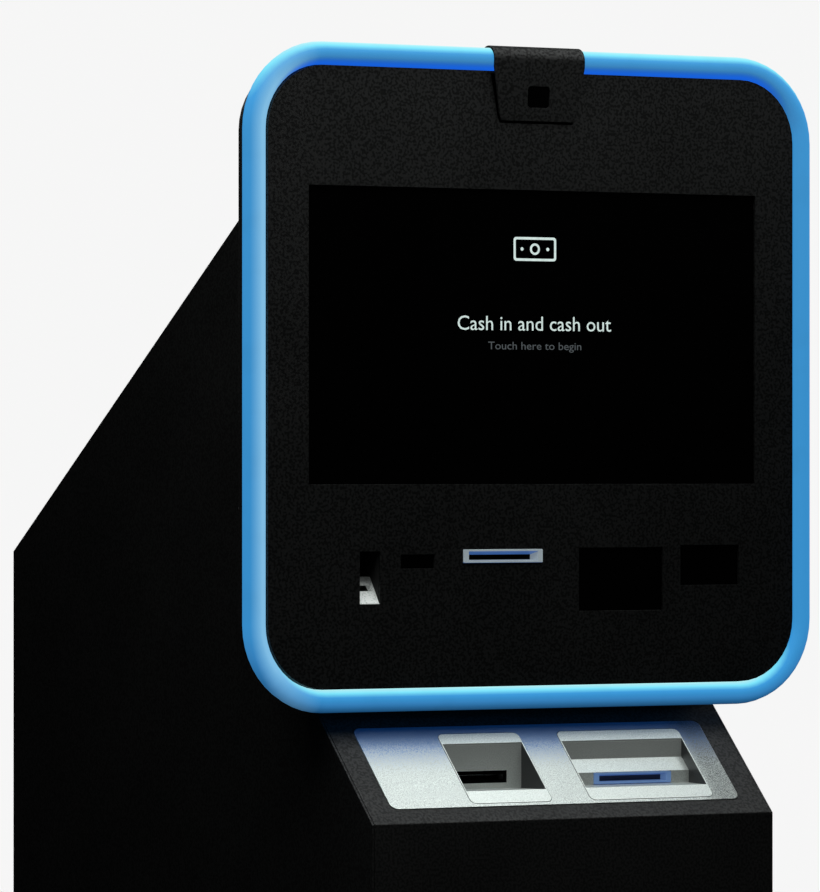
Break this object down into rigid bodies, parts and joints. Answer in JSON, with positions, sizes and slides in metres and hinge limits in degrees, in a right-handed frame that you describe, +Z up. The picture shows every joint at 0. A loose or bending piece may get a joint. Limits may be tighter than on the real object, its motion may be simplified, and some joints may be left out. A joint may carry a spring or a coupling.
{
  "type": "floor-standing cash kiosk",
  "caption": "Floor-standing cash kiosk with a square touch-screen head ringed by a light tube, a sloping tray with two pockets, and a safe behind a rear door.",
  "frame": {"origin": "on the floor, at the centre of the kiosk outline seen from above", "axes": "+Z up, -Y towards the customer, +X to the customer's right"},
  "size_m": [0.636, 0.775, 1.601],
  "materials": {
    "powder_black": "fine textured black powder coat",
    "tray_silver": "silver paint, satin",
    "light_tube": "lit blue diffuser",
    "screen_black": "black touch glass",
    "window_black": "dark window",
    "plastic_black": "moulded black plastic",
    "plastic_grey": "moulded light grey plastic",
    "zinc": "zinc plated sheet",
    "steel": "bare steel",
    "safe_grey": "grey enamel",
    "rubber": "black rubber",
    "paper": "white thermal paper"
  },
  "bodies": {
    "root": {"base_plate": "zinc", "cash_pocket": "tray_silver", "computer": "zinc", "dispenser_bezel": "plastic_grey", "dispenser_rack": "zinc", "equipment_shelf": "zinc", "fan_frame": "plastic_black", "front_shell": "powder_black", "hatch_hinge_rod": "steel", "head_hinge_lower_pin": "steel", "head_hinge_upper_pin": "steel", "head_housing": "powder_black", "mains_inlet": "plastic_black", "modem": "plastic_black", "note_cassette_1": "plastic_black", "note_cassette_2": "plastic_black", "note_riser": "zinc", "power_supply": "zinc", "presenter": "plastic_black", "print_head": "steel", "printer_frame": "plastic_grey", "rear_panel": "powder_black", "receipt_mouth": "plastic_black", "receipt_pocket": "tray_silver", "reject_box": "plastic_grey", "safe_body": "safe_grey", "safe_hinge_lower_pin": "steel", "safe_hinge_upper_pin": "steel", "side_panel_left": "powder_black", "side_panel_right": "powder_black", "tie_bar": "zinc", "tray_plate": "tray_silver"},
    "head_door": {"face_panel": "powder_black", "door_frame": "powder_black", "light_tube": "light_tube", "screen_glass": "screen_black", "lcd_module": "zinc", "camera_bracket": "powder_black", "camera_window": "window_black", "camera_module": "plastic_black", "slot_recess_box": "plastic_black", "slot_ramp": "plastic_grey", "sensor_window": "window_black", "qr_window": "window_black", "reader_window": "window_black", "qr_scanner": "plastic_black", "contactless_reader": "plastic_black", "note_bezel": "plastic_grey", "note_validator": "plastic_black", "note_stacker": "plastic_black"},
    "head_lock": {"head_lock": "steel"},
    "safe_door": {"safe_door": "powder_black"},
    "safe_handle": {"safe_handle": "steel"},
    "bolt_bar": {"bolt_bar": "steel"},
    "rear_hatch": {"rear_hatch": "powder_black"},
    "hatch_lock": {"hatch_lock": "steel"},
    "fan": {"fan_rotor": "plastic_black"},
    "paper_roll": {"paper_roll": "paper"},
    "platen": {"platen_roller": "rubber"},
    "shutter": {"dispenser_shutter": "steel"}
  },
  "joints": [
    {"name": "head_door_hinge", "type": "hinge", "parent": "root", "child": "head_door", "pos_m": [-0.3035, -0.2938, 1.28], "axis": [0, 0, -1], "range_deg": [0, 95]},
    {"name": "head_lock_turn", "type": "hinge", "parent": "root", "child": "head_lock", "pos_m": [0.295, -0.278, 1.28], "axis": [-1, 0, 0], "range_deg": [0, 90]},
    {"name": "safe_door_hinge", "type": "hinge", "parent": "root", "child": "safe_door", "pos_m": [-0.218, 0.369, 0.4], "axis": [0, 0, 1], "range_deg": [0, 110]},
    {"name": "safe_handle_turn", "type": "hinge", "parent": "safe_door", "child": "safe_handle", "pos_m": [0.105, 0.3655, 0.4], "axis": [0, 1, 0], "range_deg": [0, 90]},
    {"name": "bolt_throw", "type": "slide", "parent": "safe_door", "child": "bolt_bar", "axis": [1, 0, 0], "range_m": [0, 0.014]},
    {"name": "rear_hatch_hinge", "type": "hinge", "parent": "root", "child": "rear_hatch", "pos_m": [0, 0.3685, 1.106], "axis": [-1, 0, 0], "range_deg": [0, 105]},
    {"name": "hatch_lock_turn", "type": "hinge", "parent": "rear_hatch", "child": "hatch_lock", "pos_m": [0, -0.21431, 1.49572], "axis": [0, 0.5556, 0.8315], "range_deg": [0, 90]},
    {"name": "fan_spin", "type": "hinge", "parent": "root", "child": "fan", "pos_m": [-0.11, 0.3502, 1.014], "axis": [0, 1, 0], "continuous": true},
    {"name": "paper_feed", "type": "hinge", "parent": "root", "child": "paper_roll", "pos_m": [-0.0618, -0.2415, 0.856], "axis": [1, 0, 0], "continuous": true},
    {"name": "platen_feed", "type": "hinge", "parent": "root", "child": "platen", "pos_m": [-0.0618, -0.2945, 0.893], "axis": [1, 0, 0], "continuous": true},
    {"name": "shutter_slide", "type": "slide", "parent": "root", "child": "shutter", "axis": [0, 0, -1], "range_m": [0, 0.0104]}
  ],
  "couplings": [
    {"joint": "bolt_throw", "follows": "safe_handle_turn", "m_per_rad": 0.0089127},
    {"joint": "platen_feed", "follows": "paper_feed", "ratio": 6.3333}
  ]
}
